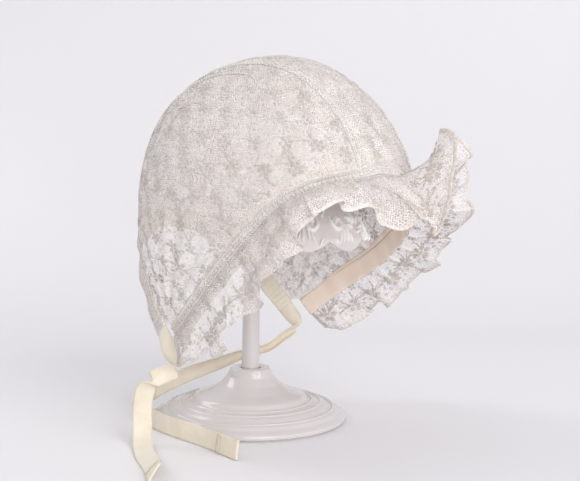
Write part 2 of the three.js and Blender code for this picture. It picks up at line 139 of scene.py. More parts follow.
def panelPoint(panel, u, v):
    r = flatForm["radius"]
    if panel == 0:   # centre strip: u across, v from back to front
        a = v / r
        d = np.stack([u / r, np.cos(a), np.sin(a)], -1)
    else:
        far = np.hypot(u, v) / r
        swirl = np.arctan2(v, u)
        d = np.stack([panel * np.cos(far), np.sin(far) * np.cos(swirl), np.sin(far) * np.sin(swirl)], -1)
    turn, swing = placeOf(flatForm["middle"] + d * r * flatForm["inset"][abs(panel)])
    return crownPoint(turn, swing), turn, swing


def flatPlace(p):
    r = flatForm["radius"]
    d = unit(p - flatForm["middle"])
    far = np.arccos(np.clip(np.abs(d[..., 0]), 0, 1)) * r
    swirl = np.arctan2(d[..., 2], d[..., 1])
    return np.stack([p[..., 0], swirl * r], -1), np.stack([far * np.cos(swirl), far * np.sin(swirl)], -1)


def swingOf(along):   # along an edge, 0 at the right corner and 1 at the left one
    return 180 - crownForm["spread"] + (2 * crownForm["spread"] - 180) * along


def edgeFrames(turn, along):
    swing = swingOf(along)
    inward, side = (-.02, -1) if turn > .5 else (.02, 1)
    point = crownPoint(turn, swing)
    run = unit(crownPoint(turn, swing - .4) - crownPoint(turn, swing + .4))
    away = point - crownPoint(turn + inward, swing)
    away = unit(away - run * (away * run).sum(-1, keepdims=True))
    return point, run, away, unit(np.cross(run, away) * side)


def smoothed(rows, turns):
    for _ in range(turns):
        rows[1:-1] = (rows[:-2] + 2 * rows[1:-1] + rows[2:]) / 4
    return rows


def evenPlaces(turn, count):
    share = np.linspace(0, 1, 721)
    lengths = lengthsAlong(crownPoint(turn, swingOf(share)))
    return lengths[-1], np.interp(np.linspace(0, lengths[-1], count + 1), lengths, share)


def calmFrames(turn, count):   # the edge's length, even places along it, and its point, run, away and outward there
    total, places = evenPlaces(turn, count)
    point, *ways = [smoothed(x, 12) for x in edgeFrames(turn, places)]
    return total, places, (point, *map(unit, ways))


# mesh helpers


def meshPiece(name, points, faces, uv=None):
    mesh = bpy.data.meshes.new(name)
    mesh.from_pydata((np.asarray(points) * mm).tolist(), [], faces.tolist() if hasattr(faces, "tolist") else faces)
    if uv is not None:
        layer = mesh.uv_layers.new(name="flat")
        loops = np.zeros(len(mesh.loops), int)
        mesh.loops.foreach_get("vertex_index", loops)
        uv = np.asarray(uv)
        layer.data.foreach_set("uv", (uv[loops] if len(uv) == len(mesh.vertices) else uv).astype(np.float32).ravel())
    mesh.polygons.foreach_set("use_smooth", [True] * len(mesh.polygons))
    mesh.update()
    piece = bpy.data.objects.new(name, mesh)
    bpy.context.scene.collection.objects.link(piece)
    return piece


def gridFaces(rows, columns, offset=0):
    i, j = np.meshgrid(np.arange(rows - 1), np.arange(columns - 1), indexing="ij")
    a = (i * columns + j).ravel() + offset
    return np.stack([a, a + columns, a + columns + 1, a + 1], -1)


def makeActive(piece):
    bpy.ops.object.select_all(action="DESELECT")
    piece.select_set(True)
    bpy.context.view_layer.objects.active = piece


def thicken(piece, depth):
    makeActive(piece)
    solid = piece.modifiers.new("thickness", "SOLIDIFY")
    solid.thickness, solid.offset, solid.use_even_offset = depth * mm, 0, False
    bpy.ops.object.modifier_apply(modifier=solid.name)
    piece.select_set(False)
    return piece


def gridSheet(name, grid, uv, depth=0.0):
    piece = meshPiece(name, grid.reshape(-1, 3), gridFaces(*grid.shape[:2]), uv.reshape(-1, 2))
    return thicken(piece, depth) if depth else piece


def finishPiece(piece, material, slotName, *nodes):
    piece.data.materials.clear()
    piece.data.materials.append(material)
    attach(piece, "root")
    if nodes:
        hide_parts(*nodes)
    print(piece.name, sum(len(p.vertices) - 2 for p in piece.data.polygons), "triangles")
    return piece


# materials


class Wire:   # a socket of a node, with the maths that shader sums need
    def __init__(self, tree, socket):
        self.tree, self.socket = tree, socket

    def sums(self, operation, *values, clamp=False):
        node = self.tree.nodes.new("ShaderNodeMath")
        node.operation, node.use_clamp = operation, clamp
        for slot, value in zip(node.inputs, values):
            connect(self.tree, slot, value)
        return Wire(self.tree, node.outputs[0])

    def __add__(self, other): return self.sums("ADD", self, other)
    def __radd__(self, other): return self.sums("ADD", other, self)
    def __sub__(self, other): return self.sums("SUBTRACT", self, other)
    def __rsub__(self, other): return self.sums("SUBTRACT", other, self)
    def __mul__(self, other): return self.sums("MULTIPLY", self, other)
    def __truediv__(self, other): return self.sums("DIVIDE", self, other)
    def __mod__(self, other): return self.sums("FLOORED_MODULO", self, other)
    def __abs__(self): return self.sums("ABSOLUTE", self)
    def __lt__(self, other): return self.sums("LESS_THAN", self, other)
    def highest(self, other): return self.sums("MAXIMUM", self, other)
    def wave(self): return self.sums("SINE", self)
    def clamped(self): return self.sums("ADD", self, 0.0, clamp=True)


def connect(tree, slot, value):
    if isinstance(value, Wire):
        tree.links.new(value.socket, slot)
    else:
        slot.default_value = value


class Finish:   # one material while it is being mixed
    def __init__(self, name, **fixed):
        self.material = bpy.data.materials.new(name)
        self.material.use_nodes = True
        self.tree = self.material.node_tree
        self.shader = self.tree.nodes["Principled BSDF"]
        self.set(**fixed)

    def add(self, kind, settings=None, sockets=None, out=0):
        node = self.tree.nodes.new("ShaderNode" + kind)
        for key, value in (settings or {}).items():
            setattr(node, key, value)
        for key, value in (sockets or {}).items():
            connect(self.tree, node.inputs[key], value)
        return Wire(self.tree, node.outputs[out])

    def set(self, **sockets):
        for key, value in sockets.items():
            connect(self.tree, self.shader.inputs[key.replace("_", " ")], value)

    def coordinates(self, kind="UV"):
        return self.add("UVMap", {"uv_map": "flat"}) if kind == "UV" else self.add("TexCoord", out=kind)

    def parts(self, vector):
        node = self.tree.nodes.new("ShaderNodeSeparateXYZ")
        self.tree.links.new(vector.socket, node.inputs[0])
        return [Wire(self.tree, out) for out in node.outputs]

    def noise(self, vector, scale, detail=2.0, roughness=0.5):
        return self.add("TexNoise", None, {"Vector": vector, "Scale": scale, "Detail": detail, "Roughness": roughness})

    def blend(self, factor, first, second):
        return self.add("Mix", {"data_type": "RGBA"}, {0: factor, 6: first, 7: second}, out=2)

    def bump(self, height, strength, distance):
        self.set(Normal=self.add("Bump", None, {"Strength": strength, "Distance": distance, "Height": height}))


def smoothMask(value, low, high):
    return ((value - low) / (high - low)).clamped()


netLook = {"cell": 0.00105, "thread": 0.23, "colour": (.90, .865, .84, 1), "shade": (.64, .565, .525, 1)}


def netFinish(name, look, cover, film):
    f = Finish(name, Roughness=.8, Sheen_Weight=.15, Sheen_Roughness=.5)
    uv = f.coordinates()
    warp = f.add("TexNoise", None, {"Vector": uv, "Scale": 520.0, "Detail": 1.0}, out=1)
    warp = f.add("VectorMath", {"operation": "SUBTRACT"}, {0: warp, 1: (.5, .5, .5)})
    warp = f.add("VectorMath", {"operation": "SCALE"}, {0: warp, "Scale": look["cell"] * 1.5})
    bent = f.add("VectorMath", {"operation": "ADD"}, {0: uv, 1: warp})
    u, v, _ = f.parts(bent)
    x, y = u * (1 / look["cell"]), v * (1 / look["cell"])
    tall = 3 ** .5   # two shifted rows of cells make a honeycomb
    ax, ay = (x % 1.0) - .5, (y % tall) - tall / 2
    bx, by = ((x - .5) % 1.0) - .5, ((y - tall / 2) % tall) - tall / 2
    pick = (ax * ax + ay * ay) < (bx * bx + by * by)
    gx, gy = abs(pick * ax + (1 - pick) * bx), abs(pick * ay + (1 - pick) * by)
    edge = .5 - gx.highest(gx * .5 + gy * (tall / 2))
    thick = f.noise(uv, 90.0, 2.0) * .12 + (look["thread"] - .06)
    thread = 1 - smoothMask(edge, thick * .7, thick)
    patch = smoothMask(f.noise(uv, 160.0, 3.0), .62, .70) * cover
    grain = smoothMask(f.noise(uv, 620.0, 3.0, .65), .36, .66)
    tone = smoothMask(f.noise(uv, 95.0, 4.0, .6), .34, .68) * .55 + grain * .45
    f.set(Base_Color=f.blend(tone, look["colour"], look["shade"]),
          Alpha=thread.highest(patch).highest(grain * .34 + film))
    f.bump(edge + grain * .8, .6, .0004)
    return f.material


def threadFinish(name, light, dark, pitch):
    f = Finish(name, Roughness=.6, Sheen_Weight=.25, Sheen_Roughness=.4)
    uv = f.coordinates()
    u = f.parts(uv)[0]
    where = f.coordinates("Object")
    sway = f.noise(uv, 700.0, 2.0)
    strand = (u * (math.tau / pitch) + sway * 2.5).wave() * .5 + .5
    tone = smoothMask(f.noise(where, 55.0, 3.0), .35, .65)
    colour = f.blend(tone, light, dark)
    # the gaps between the strands are painted darker: painted shade between the threads
    f.set(Base_Color=f.blend((1 - strand) * .3, colour, tuple(c * .8 for c in dark[:3]) + (1,)))
    f.bump(strand + f.noise(uv, 2600.0, 1.0) * .5, .8, .0003)
    return f.material


def satinFinish(name, light, dark):
    f = Finish(name, Roughness=.42, Sheen_Weight=.3, Sheen_Roughness=.35)
    uv = f.coordinates()
    u, v, _ = f.parts(uv)
    weft = (v * (math.tau / .00045) + f.noise(uv, 900.0, 1.0) * 2).wave() * .5 + .5
    warpThread = (u * (math.tau / .0003)).wave() * .5 + .5
    selvedge = smoothMask(abs(u), .0039, .0042)
    # noise creases: they raise the bump and the roughness, and their colour is painted darker, as painted shade in the
    # creases
    creaseAndShade = smoothMask(f.noise(uv, 130.0, 4.0), .3, .75)
    f.set(Base_Color=f.blend((creaseAndShade * .7 + selvedge * .2).clamped(), light, dark),
          Roughness=.36 + creaseAndShade * .18 + selvedge * .15)
    f.bump(weft * .6 + warpThread * .25 + creaseAndShade * .8, .35, .00018)
    return f.material


def tapeFinish(name, light, dark, pitch=0.0007):
    f = Finish(name, Roughness=.78, Sheen_Weight=.3, Sheen_Roughness=.5)
    uv = f.coordinates()
    u, v, _ = f.parts(uv)
    over = (u * (math.tau / pitch)).wave()
    under = (v * (math.tau / pitch)).wave()
    weave = over * under * .5 + .5
    stain = smoothMask(f.noise(uv, 95.0, 4.0), .3, .7)
    # the hollows of the weave are painted darker: painted shade in the weave
    f.set(Base_Color=f.blend((stain * .6 + (1 - weave) * .3).clamped(), light, dark))
    f.bump(weave + f.noise(uv, 1800.0, 2.0) * .4, .5, .0002)
    return f.material


def glazeFinish(name, light, dark):
    f = Finish(name, Roughness=.22, Coat_Weight=.35, Coat_Roughness=.12)
    where = f.coordinates("Object")
    cloud = smoothMask(f.noise(where, 22.0, 4.0), .3, .7)
    wear = smoothMask(f.noise(where, 160.0, 5.0, .7), .62, .74)
    f.set(Base_Color=f.blend(cloud * .6 + wear * .25, light, dark), Roughness=.18 + cloud * .08 + wear * .16)
    f.bump(f.noise(where, 48.0, 3.0) * .7 + f.noise(where, 420.0, 2.0) * .08, .12, .0012)
    return f.material


laceNet = netFinish("laceNet", netLook, .6, .08)
ruffleLook = dict(netLook, cell=.0012, thread=.17, colour=(.88, .84, .83, 1), shade=(.76, .69, .66, 1))
ruffleNet = netFinish("ruffleNet", ruffleLook, .2, .13)
bandNet = netFinish("bandNet", dict(netLook, cell=.0009, thread=.26), .6, .25)
laceThread = threadFinish("laceThread", (.93, .885, .855, 1), (.78, .70, .655, 1), .00032)
ruffleThread = threadFinish("ruffleThread", (.92, .855, .81, 1), (.79, .69, .63, 1), .00034)
# whiter than the lace thread: partly the cord's own colour, partly painted light that makes the seam ridges read bright
cordThread = threadFinish("cordThread", (.97, .945, .92, 1), (.86, .80, .76, 1), .0004)
beigeTape = tapeFinish("beigeTape", (.98, .85, .74, 1), (.89, .72, .59, 1))
creamTape = tapeFinish("creamTape", (.93, .87, .74, 1), (.84, .76, .60, 1))
casingNet = netFinish("casingNet", dict(netLook, cell=.0009, thread=.27), .7, .5)
creamSatin = satinFinish("creamSatin", (.84, .775, .655, 1), (.74, .645, .495, 1))
whiteGlaze = glazeFinish("whiteGlaze", (.65, .612, .61, 1), (.57, .535, .53, 1))
# the head is a lighter copy of the stand's white glaze: painted light where it sits in the bonnet's shade
headPaintedLightGlaze = glazeFinish("headPaintedLightGlaze", (.80, .75, .745, 1), (.72, .665, .66, 1))
# the relief is a lighter copy of the stand's white glaze: painted highlight on the carving
carvedHighlightGlaze = glazeFinish("carvedHighlightGlaze", (.92, .90, .89, 1), (.85, .825, .81, 1))
print("materials mixed")


# the raised pad that every petal, leaf, bud and stitch is a copy of

padForm = {"sides": 8, "shoulder": .66, "rise": .82}


def modelPad():
    f = padForm
    bpy.ops.mesh.primitive_circle_add(vertices=f["sides"], radius=1, fill_type="NGON", location=(0, 0, 0))
    pad = bpy.context.active_object
    bpy.ops.object.mode_set(mode="EDIT")
    bpy.ops.mesh.inset(thickness=1 - f["shoulder"])
    bpy.ops.transform.translate(value=(0, 0, f["rise"]))
    bpy.ops.mesh.inset(thickness=f["shoulder"] * .6)
    bpy.ops.transform.translate(value=(0, 0, 1 - f["rise"]))
    bpy.ops.object.mode_set(mode="OBJECT")
    points = np.array([v.co[:] for v in pad.data.vertices])
    faces = [tuple(p.vertices) for p in pad.data.polygons]
    mesh = pad.data
    bpy.data.objects.remove(pad)
    bpy.data.meshes.remove(mesh)
    return points, faces


padPoints, padFaces = modelPad()
print("pad modelled:", len(padPoints), "points")


def padCopies(pads):   # each is centre u and v, angle in degrees, half length, half width, height and how pointed it is
    u, v, angle, length, width, height, point = np.array(pads, float).T[..., None]
    x, y, z = padPoints.T
    a = np.radians(angle)
    x, y = x * length, y * width * (1 - point * x ** 2)
    return u + x * np.cos(a) - y * np.sin(a), v + x * np.sin(a) + y * np.cos(a), z * height, np.stack([x, y], -1) * mm


def padMesh(name, points, local, flipped=0):   # the last ones, as many as flipped, face the other way
    count, size = points.shape[:2]
    faces = [tuple(n + k * size for n in (face if k < count - flipped else face[::-1]))
             for k in range(count) for face in padFaces]
    return meshPiece(name, points.reshape(-1, 3), faces, local.reshape(-1, 2))


def aim(degrees, far=1.0):
    a = math.radians(degrees)
    return far * math.cos(a), far * math.sin(a)


# the crown

sprig = {
    "pitchU": 15.5, "pitchV": 13.5, "petal": 1.7, "petalWide": .46, "fan": 13, "ring": 3.05, "height": .42, "seed": 7,
    "grains": 7,
}


def flower(u, v, turned, size=1.0, petals=5, height=.42):
    s = sprig
    pads = []
    for k in range(petals):
        for side in (-1, 0, 1):   # three satin stitches side by side make a petal
            a = turned + 360 * k / petals + side * s["fan"]
            du, dv = aim(a, s["ring"] * size * (1 - .06 * abs(side)))
            half = s["petal"] * size * (1 - .16 * abs(side))
            pads.append((u + du, v + dv, a, half, s["petalWide"] * size, height, .25))
    for k in range(5):
        du, dv = aim(turned + 36 + 72 * k, .8 * size)
        pads.append((u + du, v + dv, 0, .36 * size, .36 * size, height, 0))
    return pads


def spray(u, v, turned, size, height):   # three pairs of leaves
    pads = []
    for k in range(6):
        step, side = k // 2, 1 if k % 2 else -1
        c, d = aim(turned + side * 9 * step, size)
        along, off = 5.4 + 2.6 * step, side * 1.25
        pads.append((u + along * c - off * d, v + along * d + off * c, turned + side * 38,
                     1.45 * size, .78 * size, height, .55))
    return pads


def stem(u, v, turned, length, bend, height, width, links=5):
    pads = []
    for k in range(links):
        t = (k + .5) / links
        du, dv = aim(turned + bend * t, length * t)
        pads.append((u + du, v + dv, turned + bend * t * 2, length / links * .62, width, height, 0))
    return pads


def swingsAt(x, turns):   # where the crown is at one distance from its middle plane
    low, high = np.full(len(turns), crownForm["spread"]), np.full(len(turns), 180 - crownForm["spread"])
    for _ in range(26):
        middle = (low + high) / 2
        beyond = crownPoint(turns, middle)[:, 0] > x
        low, high = np.where(beyond, middle, low), np.where(beyond, high, middle)
    return (low + high) / 2


def crownSheet():
    f = crownForm
    turns = np.linspace(0, 1, 131)
    stops = f["seamOffset"] + f["seamHalfWidth"] * np.array([-1, 0, 1])
    marks = [swingsAt(x, turns) for x in (*-stops[::-1], *stops)]
    right, left = np.full(len(turns), 180 - f["spread"]), np.full(len(turns), f["spread"])

    def between(a, b, count):
        return [a + (b - a) * k / count for k in range(count)]

    columns = between(right, marks[0], 62) + marks[:2] + between(marks[2], marks[3], 36) + marks[3:5] \
        + between(marks[5], left, 62) + [left]
    grid = crownPoint(turns[:, None], np.stack(columns, 1))
    faces = gridFaces(*grid.shape[:2])
    strip, side = flatPlace(grid)
    middleX = grid.reshape(-1, 3)[faces][..., 0].mean(1)
    onStrip = np.abs(middleX) < f["seamOffset"]
    uv = np.where(onStrip[:, None, None], strip.reshape(-1, 2)[faces], side.reshape(-1, 2)[faces])
    uv[middleX > f["seamOffset"], :, 0] += 400   # the left side is cut from its own stretch of lace
    return meshPiece("crownLace", grid.reshape(-1, 3), faces, (uv * mm).reshape(-1, 2))


crownLace = crownSheet()
finishPiece(crownLace, laceNet, "lace", "crown")


def onCrown(panel, u, v, height):
    p, turn, swing = panelPoint(panel, u, v)
    e = .3
    n = unit(np.cross(panelPoint(panel, u + e, v)[0] - p, panelPoint(panel, u, v + e)[0] - p))
    n *= np.where(((p - flatForm["middle"]) * n).sum(-1, keepdims=True) < 0, -1, 1)
    return p + n * (height[..., None] + .06), turn, swing


def crownEmbroidery(name, panel, seed):
    rng = np.random.default_rng(seed)
    pads = []
    for i in range(-9, 10):
        for j in range(-26, 27):
            u, v = sprig["pitchU"] * (i + (.5 if j % 2 else 0)), sprig["pitchV"] * j
            if (abs(u) > 17 or not -8 < v < 222) if panel == 0 else math.hypot(u, v) > 108:   # off the panel
                continue
            u += rng.uniform(-1.2, 1.2)
            v += rng.uniform(-1.2, 1.2)
            size = rng.uniform(.8, 1.12)
            way = (60 if (i + j) % 2 else 240) + rng.uniform(-30, 30)
            pads += flower(u, v, rng.uniform(0, 72), size, 5 + int(rng.integers(0, 2)), sprig["height"])
            pads += spray(u, v, way, size, .32)
            pads += stem(u, v, way, 11.5 * size, 14, .28, .3)
            pads += stem(u, v, way + 150, 8.5 * size, -30, .26, .26, 4)
            for q in (110, 150, 205, 250):
                du, dv = aim(way + q, 7.4)
                pads.append((u + du, v + dv, 0, .5, .5, .28, 0))
            for _ in range(sprig["grains"]):
                du, dv = aim(rng.uniform(0, 360), rng.uniform(5.0, 9.5))
                pads.append((u + du, v + dv, rng.uniform(0, 180), rng.uniform(.45, .95), .22, .2, 0))
    u, v, height, at = padCopies(pads)
    p, turn, swing = onCrown(panel, u, v, height)
    f = crownForm
    inside = (turn > .015) & (turn < .985) & (swing > f["spread"] + 1) & (swing < 180 - f["spread"] - 1)
    x = p[..., 0] * (panel or 1)
    inside &= (np.abs(x) < f["seamOffset"] - 1.5) if panel == 0 else (x > f["seamOffset"] + 1.5)
    keep = inside.all(1) & (np.ptp(p, axis=1).max(-1) < 9)
    return padMesh(name, p[keep], at[keep])


crownFlowers = [finishPiece(crownEmbroidery("crownEmbroidery" + name, panel, sprig["seed"] + panel), laceThread, "lace")
                for name, panel in (("Right", -1), ("Top", 0), ("Left", 1))]


def chainOn(path, normal, pitch, length, width, height, slant):   # a row of stitches, each slanted by as many degrees
    lengths = lengthsAlong(path)
    spots = np.arange(pitch / 2, lengths[-1], pitch)

    def at(rows, places):
        return np.stack([np.interp(places, lengths, column) for column in rows.T], -1)

    n = unit(at(normal, spots))
    t = at(path, spots + .2) - at(path, spots - .2)
    t = unit(t - n * (t * n).sum(1, keepdims=True))
    b = np.cross(n, t)
    c, s = aim(slant)
    ways = np.stack([t * c + b * s, b * c - t * s, n], 1)
    sizes = padPoints * (length, width, height) - (0, 0, height * .25)
    local = np.broadcast_to(sizes[None, :, :2], (len(spots), len(padPoints), 2)) * mm
    return at(path, spots)[:, None] + sizes @ ways, local


def joinChains(name, chains):
    return padMesh(name, *(np.concatenate(parts) for parts in zip(*chains)))


def lineAt(x, turns):   # the crown's points at one distance from its middle plane
    path = crownPoint(turns, swingsAt(x, turns))
    return path, unit((path - flatForm["middle"]) * (.9, 1, 1))


def seamChains():
    chains = []
    for side in (-1, 1):
        for off in (-1.3, 1.3):
            path, normal = lineAt(side * crownForm["seamOffset"] + off, np.linspace(.006, .994, 400))
            chains.append(chainOn(path + normal * .25, normal, 1.7, 1.0, .5, .75, 20 * off))
        path, normal = lineAt(side * crownForm["pleatOffset"], np.linspace(.1, .62, 300))
        chains.append(chainOn(path + normal * .2, normal, 1.6, .95, .42, .6, 24 * side))
    return chains


crownSeams = finishPiece(joinChains("crownSeamStitches", seamChains()), cordThread, "lace")


# the strips along the crown's edges

bandForm = {
    "width": 9.5, "inside": -1.2, "tapeLift": -.35, "tapeThick": .35, "laceLift": .3, "laceThick": .3,
    "wave": .25, "wavePitch": 3.4,
}
casingForm = {
    "width": 9.5, "thick": .9, "wave": .55, "wavePitch": 3.2, "laceLift": .62, "laceWave": .6, "stitchLift": .7,
}
insideForm = {"turns": (.010, .034), "width": 4.6, "thick": .25, "inward": .8, "middle": (0, -17.0, 100.0)}
gap = crownForm["seamGap"]


def stripUv(total, count, distances):
    return np.stack(np.meshgrid(np.linspace(0, total, count), distances), -1) * mm


def edgeStrip(name, edge, distances, lift, wave=0.0, pitch=3.0, thick=0.0):   # a tape along an edge of the crown
    total, _, (point, _, away, outward) = edge
    ripple = wave * np.sin(math.tau * round(total / pitch) * np.linspace(0, 1, len(point)))[:, None]
    swell = np.sin(math.pi * (np.arange(len(distances)) + .5) / len(distances))
    grid = np.stack([point + away * d + outward * (lift + ripple * k) for d, k in zip(distances, swell)])
    return gridSheet(name, grid, stripUv(total, len(point), distances), thick)


faceEdge = (faceTotal, facePlaces, faceFrames) = calmFrames(1, 360)
neckEdge = (neckTotal, _, (neckPoint, _, neckAway, neckOut)) = calmFrames(0, 200)
bandTape = edgeStrip("faceBandTape", faceEdge, np.linspace(bandForm["inside"], bandForm["width"] + gap, 9),
                     bandForm["tapeLift"], thick=bandForm["tapeThick"])
finishPiece(bandTape, beigeTape, "beige_tape", "face_band")


def insideTape():
    f = insideForm
    swing = swingOf(facePlaces)
    grid = np.stack([smoothed(crownPoint(t, swing), 10) for t in 1 - np.linspace(*f["turns"], 5)])
    grid -= unit(grid - f["middle"]) * f["inward"]
    return gridSheet("seamTape", grid, stripUv(faceTotal, len(facePlaces), np.linspace(0, f["width"], 5)), f["thick"])


seamTape = finishPiece(insideTape(), beigeTape, "beige_tape")


def gatherChains(count, seed):   # short stitches across the face seam that draw the net in
    rng = np.random.default_rng(seed)
    ends = crownForm["spread"] + 1.5
    swings = np.linspace(180 - ends, ends, count) + rng.uniform(-.2, .2, count)
    chains = []
    for swing, reach in zip(swings, rng.uniform(.008, .034, count)):
        path = crownPoint(np.linspace(.996 - reach, .996, 6), swing)
        chains.append(chainOn(path, path - flatForm["middle"], 1.4, .8, .2, .28, rng.uniform(-14, 14)))
    return chains


seamGathers = finishPiece(joinChains("faceSeamGathers", gatherChains(150, 3)), cordThread, "lace")
bandLace = edgeStrip("faceBandLace", faceEdge, np.linspace(0, bandForm["width"], 8), bandForm["laceLift"],
                     bandForm["wave"], bandForm["wavePitch"], bandForm["laceThick"])
finishPiece(bandLace, bandNet, "lace")


def bandStitches():   # each kind has a lift, a pitch, a length, width and height, and rows with their slants
    point, _, away, outward = faceFrames
    ropes = (.6, (1.55, 1.35, .7, 1.25), ((.7, 30), (3.9, -30), (8.9, 33)))
    bars = (.5, (2.3, 1.0, .34, .5), ((2.1, 62), (2.7, 118), (6.2, 50)))
    return [chainOn(point + away * d + outward * lift, outward, *sizes, slant)
            for lift, sizes, rows in (ropes, bars) for d, slant in rows]


bandRopes = finishPiece(joinChains("faceBandStitches", bandStitches()), cordThread, "lace")

casingAcross = np.linspace(0, casingForm["width"] + gap, 9)
casing = edgeStrip("neckCasing", neckEdge, casingAcross, 0, casingForm["wave"], casingForm["wavePitch"],
                   casingForm["thick"])
finishPiece(casing, creamTape, "cream_satin", "neck_casing")
casingLace = edgeStrip("neckCasingLace", neckEdge, casingAcross, casingForm["laceLift"], casingForm["laceWave"],
                       casingForm["wavePitch"])
finishPiece(casingLace, casingNet, "lace")
casingStitches = joinChains("neckCasingStitches", [
    chainOn(neckPoint + neckAway * d + neckOut * casingForm["stitchLift"], neckOut, 2.0, .75, .3, .45, slant)
    for d, slant in ((1.4, 14), (8.8, -14), (9.4, 14))])
finishPiece(casingStitches, cordThread, "cream_satin")


# the ruffle

ruffleForm = {
    "place": 4.6, "pitch": 31, "scallop": 16, "scallopDepth": 3, "flute": 13, "lift": 1.5, "steps": 40, "columns": 900,
    "gather": 3.5, "gatherPitch": 6.1, "sheetRows": 25, "sheetColumns": 801,
}
ruffleRun = [   # place along the seam, depth, lean and curl in degrees
    (0, 21, 24, 15), (0.08, 31, 26, 20), (0.2, 33, 36, 15), (0.3, 32, 54, -42), (0.37, 30, 60, -42),
    (0.415, 41, 36, -26), (0.455, 43, 28, -9), (0.48, 40, 46, -4), (0.52, 34, 112, 5), (0.55, 36, 138, 14),
    (0.6, 35, 126, 14), (0.66, 32, 100, 10), (0.73, 30, 76, 5), (0.84, 30, 54, 15), (0.93, 31, 46, 15), (1, 21, 34, 15),
]


def ruffleTable():
    f = ruffleForm
    total, _, (point, _, away, outward) = calmFrames(1, f["columns"])
    along = np.linspace(0, 1, f["columns"] + 1)
    scallops, flutes = round(total / f["scallop"]), round(total / f["pitch"])
    depth = readTable(ruffleRun, 1, along) - f["scallopDepth"] * (1 - np.abs(np.sin(np.pi * scallops * along)) ** .7)
    lean, curl = readTable(ruffleRun, 2, along), readTable(ruffleRun, 3, along)
    flute = f["flute"] * np.sin(2 * np.pi * flutes * along + .6 * np.sin(9 * along))
    gather = f["gather"] * np.sin(2 * np.pi * total / f["gatherPitch"] * along + 2 * np.sin(40 * along))
    at = point + away * (gap + f["place"]) + outward * f["lift"]
    rows = []
    for i in range(f["steps"] + 1):
        rows.append(at.copy())
        share = (i + .5) / f["steps"]
        angle = np.radians(np.maximum(4, lean + curl * (2 * share - 1) + flute * min(1, share * 1.6)
                                      + gather * math.exp(-share * 5)))
        step = (depth / f["steps"])[:, None]
        at = at + away * step * np.cos(angle)[:, None] + outward * step * np.sin(angle)[:, None]
    return total, depth, np.stack(rows)


ruffleTotal, ruffleDepth, ruffleRows = ruffleTable()


def onRuffle(u, v, height):
    steps, columns = ruffleRows.shape[0] - 1, ruffleRows.shape[1] - 1
    side = np.clip(u / ruffleTotal, 0, 1) * columns
    depth = np.interp(u, np.linspace(0, ruffleTotal, columns + 1), ruffleDepth)
    down = np.clip(v / depth, 0, 1) * steps
    i, j = np.minimum(down.astype(int), steps - 1), np.minimum(side.astype(int), columns - 1)
    s, t = (down - i)[..., None], (side - j)[..., None]
    a, b, c, d = ruffleRows[i, j], ruffleRows[i, j + 1], ruffleRows[i + 1, j], ruffleRows[i + 1, j + 1]
    p = a * (1 - s) * (1 - t) + b * (1 - s) * t + c * s * (1 - t) + d * s * t
    n = unit(np.cross(b + d - a - c, c + d - a - b))
    return p, n, p + n * np.asarray(height)[..., None]


sheetSize = ruffleForm["sheetRows"], ruffleForm["sheetColumns"]
ruffleU = np.linspace(0, ruffleTotal, sheetSize[1])
sheetDepth = np.interp(ruffleU, np.linspace(0, ruffleTotal, ruffleRows.shape[1]), ruffleDepth)
sheetV = np.linspace(0, 1, sheetSize[0])[:, None] * sheetDepth * .9995
sheetGrid = onRuffle(np.broadcast_to(ruffleU, sheetSize), sheetV, 0.0)[0]
clothU = lengthsAlong(sheetGrid[13])   # measured along the cloth, next to its middle row
clothTotal = clothU[-1]
ruffle = gridSheet("brimRuffle", sheetGrid, np.stack([np.broadcast_to(clothU, sheetSize), sheetV], -1) * mm)
finishPiece(ruffle, ruffleNet, "lace", "brim_ruffle")
print("ruffle's cloth", clothTotal)

ruffleSprig = {"pitch": 17.0, "inset": 12.5, "upper": 25.0, "seed": 11}


def rufflePads():
    f = ruffleSprig
    rng = np.random.default_rng(f["seed"])
    count = round(clothTotal / f["pitch"])
    pads = []
    for k in range(count):
        u0 = (k + .5) * clothTotal / count
        depth = float(np.interp(u0, clothU, sheetDepth))
        v0 = depth - f["inset"] + rng.uniform(-1, 1)
        pads += flower(u0, v0, rng.uniform(0, 60), rng.uniform(1.05, 1.25), 6, .4)
        for side in (-1, 1):
            pads += spray(u0, v0, -90 + side * 52, .85, .3)
            pads += stem(u0, v0, -90 + side * 52, 9.5, 8 * side, .26, .26)
            pads.append((u0 + side * 6.6, v0 + 4.2, 90, 1.2, .7, .3, .4))
            pads.append((u0 + side * 8.2, v0 + 1.0, 60 * side, .9, .5, .3, .4))
        for q in range(8):   # a row of dots that follows the edge
            u = u0 + ((q + .5) / 8 - .5) * clothTotal / count
            pads.append((u, float(np.interp(u, clothU, sheetDepth)) - 3.3, 0, .42, .42, .3, 0))
        if depth > f["upper"]:
            v = depth - f["upper"] + rng.uniform(-1.5, 1.5)
            pads += flower(u0 + f["pitch"] / 2, v, rng.uniform(0, 72), .62, 5, .3)
        for _ in range(12):
            u, v = u0 + rng.uniform(-.5, .5) * f["pitch"], rng.uniform(1.5, depth - 3)
            pads.append((u, v, rng.uniform(0, 180), rng.uniform(.4, .9), .2, .18, 0))
    return pads


def ruffleEmbroidery():
    u, v, height, at = padCopies(rufflePads())
    u = np.interp(u, clothU, ruffleU)
    depth = np.interp(u, ruffleU, sheetDepth)
    keep = ((v > .4) & (v < depth - .3) & (u > .6) & (u < ruffleTotal - .6)).all(1)
    u, v, height, at = u[keep], v[keep], height[keep], at[keep]
    top = onRuffle(u, v, height + .06)[2]
    under = onRuffle(u, v, -(height * .6 + .06))[2]
    return padMesh("ruffleEmbroidery", np.concatenate([top, under]), np.concatenate([at, at]), len(under))


ruffleFlowers = finishPiece(ruffleEmbroidery(), ruffleThread, "lace")


